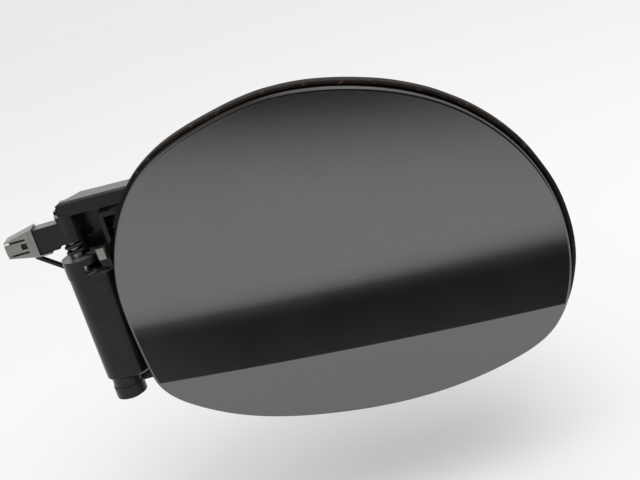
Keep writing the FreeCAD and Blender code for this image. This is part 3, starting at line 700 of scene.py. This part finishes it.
def rounded_polygon(corners, steps=5):
    """Closed polygon with its corners rounded: each corner is two coordinates and a radius."""
    places = []
    for index, (first, second, radius) in enumerate(corners):
        corner = np.array((first, second))
        before = np.array(corners[index - 1][:2]) - corner
        after = np.array(corners[(index + 1) % len(corners)][:2]) - corner
        before /= np.linalg.norm(before)
        after /= np.linalg.norm(after)
        half = math.acos(np.clip(before @ after, -1, 1)) / 2
        middle = (before + after) / np.linalg.norm(before + after)
        centre = corner + middle * radius / math.sin(half)
        start = corner + before * radius / math.tan(half) - centre
        end = corner + after * radius / math.tan(half) - centre
        angle = math.atan2(start[1], start[0])
        sweep = (math.atan2(end[1], end[0]) - angle + math.pi) % (2 * math.pi) - math.pi
        for share in np.linspace(0, 1, steps):
            bend = angle + sweep * share
            places.append(centre + radius * np.array((math.cos(bend), math.sin(bend))))
    return np.array(places)


rim_places, rim_normals = smooth_outline(outline_points, 480)
rim_places += rim_shift
beside_hinge = (rim_places[:, 1] > notch_low) & (rim_places[:, 1] < notch_high)
in_notch = (rim_places[:, 0] < notch_right) & beside_hinge
first_after = int(np.flatnonzero(~in_notch & np.roll(in_notch, 1))[0])
lip_line = np.roll(rim_places, -first_after, axis=0)[:int((~in_notch).sum())]
lip_path = edge_object("lip_path", [(x, 0, z) for x, z in lip_line], closed=False)
section_places = [(depth, out, 0) for depth, out in rounded_polygon(lip_corners)]
lip_section = edge_object("lip_section", section_places, closed=True)
finish_sweep(lip_path, lip_section, {"Waviness": 0.7 * MM}, (0, 1, 0), "rubber_lip", "lip_seal")

# %% [markdown]
# In the photo the hood over the hinge runs right up to this rubber. The CAD solid keeps a small gap there,
# so the end of the carrier's copy is pushed into the lip.

# %% End of the hood
hood_bottom = 42.5
end_reach = 3.8
end_push = 1.0
pushed = 0
for vertex in soft_pieces["hinge_carrier"].data.vertices:
    place = np.array((vertex.co.x, vertex.co.z)) / MM
    nearest = np.linalg.norm(rim_places - place, axis=1).argmin()
    outside = (place - rim_places[nearest]) @ rim_normals[nearest]
    if place[1] > hood_bottom and outside < end_reach:
        across, upwards = rim_normals[nearest] * end_push * MM
        vertex.co -= Vector((across, 0, upwards))
        pushed += 1
print("hood vertices pushed into the lip:", pushed)

# %% [markdown]
# ## Torsion spring
# A right-handed coil of round wire round the pin. The lower leg bends out to the bright block on the hinge
# arm, the upper one back to the carrier.

# %% Torsion spring
hinge_x, hinge_y = -104.5, -43.0
coil_radius, wire_radius, coil_low, coil_high, coil_turns = 4.0, 0.7, 26.05, 30.95, 2
leg_bend = 2.0
lower_end, upper_end = -94.4, -98.5


def spring_path():
    """Places along the wire: leg, bend, coil, bend, leg."""
    side = hinge_x + coil_radius
    places = [(lower_end, hinge_y - coil_radius, coil_low)]
    for angle in np.linspace(0, math.pi / 2, 8):
        places.append((side + leg_bend * (1 - math.sin(angle)),
                       hinge_y - coil_radius + leg_bend * (1 - math.cos(angle)), coil_low))
    for share in np.linspace(0, 1, 48 * coil_turns):
        angle = 2 * math.pi * coil_turns * share
        places.append((hinge_x + coil_radius * math.cos(angle), hinge_y + coil_radius * math.sin(angle),
                       coil_low + (coil_high - coil_low) * share))
    for angle in np.linspace(0, math.pi / 2, 8):
        places.append((side + leg_bend * (1 - math.cos(angle)),
                       hinge_y + coil_radius - leg_bend * (1 - math.sin(angle)), coil_high))
    places.append((upper_end, hinge_y + coil_radius, coil_high))
    return places


wire_angles = np.linspace(0, 2 * math.pi, 13)[:-1]
wire = [(wire_radius * math.cos(angle), wire_radius * math.sin(angle), 0) for angle in wire_angles]
finish_sweep(edge_object("spring_path", spring_path(), closed=False),
             edge_object("spring_section", wire, closed=True),
             {"Waviness": 0.0}, None, "coil_spring", "torsion_spring")

# %% [markdown]
# ## Screws
# One pan-head screw with a six-lobed recess is turned from a profile: each ring has a radius, a height and
# a share of lobing. Geometry Nodes then puts a copy on every screw's place and gives each its own turn, as
# no two screws stop at the same angle.

# %% One screw, and the tree that sets it in place
head_rings = [
    (0.0, 0.9, 0.0), (1.25, 0.9, 0.13), (1.35, 2.0, 0.13), (1.5, 2.15, 0.1), (2.2, 2.12, 0.0),
    (2.8, 1.85, 0.0), (3.2, 1.3, 0.0), (3.4, 0.6, 0.0), (3.4, 0.15, 0.0), (3.3, 0.0, 0.0),
]
shank_radius = 1.6
lobes = 6


def screw_object(name, length):
    """Screw along Z with its head above zero and a shank of a given length below, in millimetres."""
    rings = head_rings + [(shank_radius, 0.0, 0.0), (shank_radius, -length, 0.0), (0.0, -length, 0.0)]
    work = bmesh.new()
    turns = np.linspace(0, 2 * math.pi, 49)[:-1]
    loops = []
    for radius, height, lobing in rings:
        loop = []
        for angle in turns:
            reach = radius * (1 + lobing * math.cos(lobes * angle))
            place = Vector((reach * math.cos(angle), reach * math.sin(angle), height))
            loop.append(work.verts.new(place * MM))
        loops.append(loop)
    for lower, upper in zip(loops, loops[1:]):
        for index in range(len(turns)):
            following = (index + 1) % len(turns)
            work.faces.new((lower[index], lower[following], upper[following], upper[index]))
    bmesh.ops.remove_doubles(work, verts=work.verts, dist=0.002 * MM)
    bmesh.ops.recalc_face_normals(work, faces=work.faces)
    mesh = bpy.data.meshes.new(name)
    work.to_mesh(mesh)
    work.free()
    piece = bpy.data.objects.new(name, mesh)
    bpy.context.scene.collection.objects.link(piece)
    return piece


def make_set_tree():
    """Copies of an object on the points of a mesh, each turned about its own axis by a random angle."""
    tree, given, result = new_tree("set_in_place", [
        ("Piece", "NodeSocketObject"), ("Turn", "NodeSocketRotation"), ("Finish", "NodeSocketMaterial")])
    nodes, links = tree.nodes, tree.links
    piece = nodes.new("GeometryNodeObjectInfo")
    links.new(given.outputs["Piece"], piece.inputs["Object"])
    copies = nodes.new("GeometryNodeInstanceOnPoints")
    links.new(given.outputs["Geometry"], copies.inputs["Points"])
    links.new(piece.outputs["Geometry"], copies.inputs["Instance"])
    links.new(given.outputs["Turn"], copies.inputs["Rotation"])
    angle = nodes.new("FunctionNodeRandomValue")
    angle.data_type = "FLOAT"
    spread = {socket.name: socket for socket in angle.inputs if socket.enabled}
    spread["Max"].default_value = 2 * math.pi / lobes
    spread["Seed"].default_value = 7
    about_axis = nodes.new("ShaderNodeCombineXYZ")
    links.new(next(socket for socket in angle.outputs if socket.enabled), about_axis.inputs["Z"])
    turned = nodes.new("GeometryNodeRotateInstances")
    links.new(copies.outputs["Instances"], turned.inputs["Instances"])
    links.new(about_axis.outputs["Vector"], turned.inputs["Rotation"])
    whole = nodes.new("GeometryNodeRealizeInstances")
    links.new(turned.outputs["Instances"], whole.inputs["Geometry"])
    coloured = nodes.new("GeometryNodeSetMaterial")
    links.new(whole.outputs["Geometry"], coloured.inputs["Geometry"])
    links.new(given.outputs["Finish"], coloured.inputs["Material"])
    links.new(coloured.outputs["Geometry"], result.inputs["Geometry"])
    return tree


# %% Both sets of screws
def set_screws(places, length, turn, node):
    """Screws at places in millimetres, whose axis is turned from Z by Euler angles."""
    screw = screw_object("one_screw", length)
    points = edge_object("screw_places", places, closed=False)
    inputs = {"Piece": screw, "Turn": turn, "Finish": finishes[node_slots[node]]}
    piece = grow(points, make_set_tree(), inputs, node + "_turned")
    piece.data.polygons.foreach_set("use_smooth", [True] * len(piece.data.polygons))
    piece.data.set_sharp_from_angle(angle=math.radians(35))
    for helper in (screw, points):
        bpy.data.objects.remove(helper)
    dress(piece, node)
    print(f"{node}: {len(piece.data.polygons)} faces")


quarter = math.radians(90)
set_screws([(-76, -43, 5), (-76, -43, -21), (-50, -43, -8)], 6.5, (-quarter, 0, 0), "arm_screws")
set_screws([(-95, -22.7, -18), (-95, -22.7, 18)], 9.5, (0, -quarter, 0), "carrier_screws")

# %% [markdown]
# ## Studio
# A wide pale floor, a softbox above the camera's right shoulder, and an even white sky. The floor lies a
# little below the part, so that its shadow stays as light as in the photo. The paint is a mirror: its
# upright part shows the pale floor near it, while the shoulder and the top look farther out, to where the
# photographer's room was dark. A dark card stands for that room, and a dark cloth before it fades out
# towards the part. Only reflections see them, and they make the dark band and the dark top.

# %% Floor
def plain_mesh(name, corners):
    """Flat sheet through four corners."""
    mesh = bpy.data.meshes.new(name)
    mesh.from_pydata(corners, [], [range(len(corners))])
    piece = bpy.data.objects.new(name, mesh)
    bpy.context.scene.collection.objects.link(piece)
    return piece


floor_reach = 9.0
floor_drop = 45 * MM
floor_height = cad_low.z - floor_drop
floor_corners = [(-1, -1), (1, -1), (1, 1), (-1, 1)]
floor = plain_mesh("floor", [(x * floor_reach, y * floor_reach, floor_height) for x, y in floor_corners])
floor_finish, floor_shader, floor_place = new_finish("floor")
mottle = noise(floor_finish, floor_place, 400 * MM)
floor_tone = mixed(floor_finish, mottle, (0.80, 0.80, 0.80), (0.82, 0.82, 0.82))
link(floor_finish, floor_tone, floor_shader.inputs["Base Color"])
floor_shader.inputs["Roughness"].default_value = 0.9
floor.data.materials.append(floor_finish)

# %% Dark card, and the dark cloth in front of it
card_distance = 1110 * MM
card_yaw = math.radians(44)
card_half_length = 1.4
card_height = 2.6
cloth_reach = 470 * MM
card_middle = Vector((-30 * MM, flap_middle.y - card_distance, floor_height))
card_along = Vector((math.cos(card_yaw), math.sin(card_yaw), 0)) * card_half_length
to_part = Vector((-math.sin(card_yaw), math.cos(card_yaw), 0))
card_rise = Vector((0, 0, card_height))
card_left, card_right = card_middle - card_along, card_middle + card_along
card = plain_mesh("dark_card", [card_left, card_right, card_right + card_rise, card_left + card_rise])
cloth_lift = Vector((0, 0, 0.3 * MM))
cloth_front = to_part * cloth_reach + cloth_lift
cloth = plain_mesh("dark_cloth", [card_left + cloth_lift, card_left + cloth_front, card_right + cloth_front,
                                  card_right + cloth_lift])
card_finish, card_shader, card_place = new_finish("dark_card")
weave = noise(card_finish, card_place, 2 * MM)
card_tone = mixed(card_finish, weave, (0.02, 0.02, 0.02), (0.03, 0.03, 0.03))
link(card_finish, card_tone, card_shader.inputs["Base Color"])
card_shader.inputs["Roughness"].default_value = 1.0
nearness = along(card_finish, card_place, to_part)
card_line = to_part.dot(card_middle)
cover = between(card_finish, nearness, 1, 0, card_line, card_line + cloth_reach, "SMOOTHSTEP")
link(card_finish, cover, card_shader.inputs["Alpha"])
for piece in (card, cloth):
    piece.data.materials.append(card_finish)
    piece.visible_camera = False
    piece.visible_diffuse = False
    piece.visible_shadow = False

# %% Lights
sky = bpy.data.worlds.new("sky")
sky.use_nodes = True
bpy.context.scene.world = sky
background = next(node for node in sky.node_tree.nodes if node.type == "BACKGROUND")
background.inputs["Color"].default_value = (1, 1, 1, 1)
background.inputs["Strength"].default_value = 1.0

softbox_place = Vector((0.3, -0.5, 1.0))
softbox_target = Vector((0, -0.1, 0))
lamp = bpy.data.lights.new("softbox", "AREA")
lamp.size = 0.9
lamp.energy = 5.0
softbox = bpy.data.objects.new("softbox", lamp)
softbox.location = softbox_place
softbox.rotation_euler = (softbox_target - softbox_place).to_track_quat("-Z", "Y").to_euler()
bpy.context.scene.collection.objects.link(softbox)
bpy.context.scene.view_settings.view_transform = "Standard"
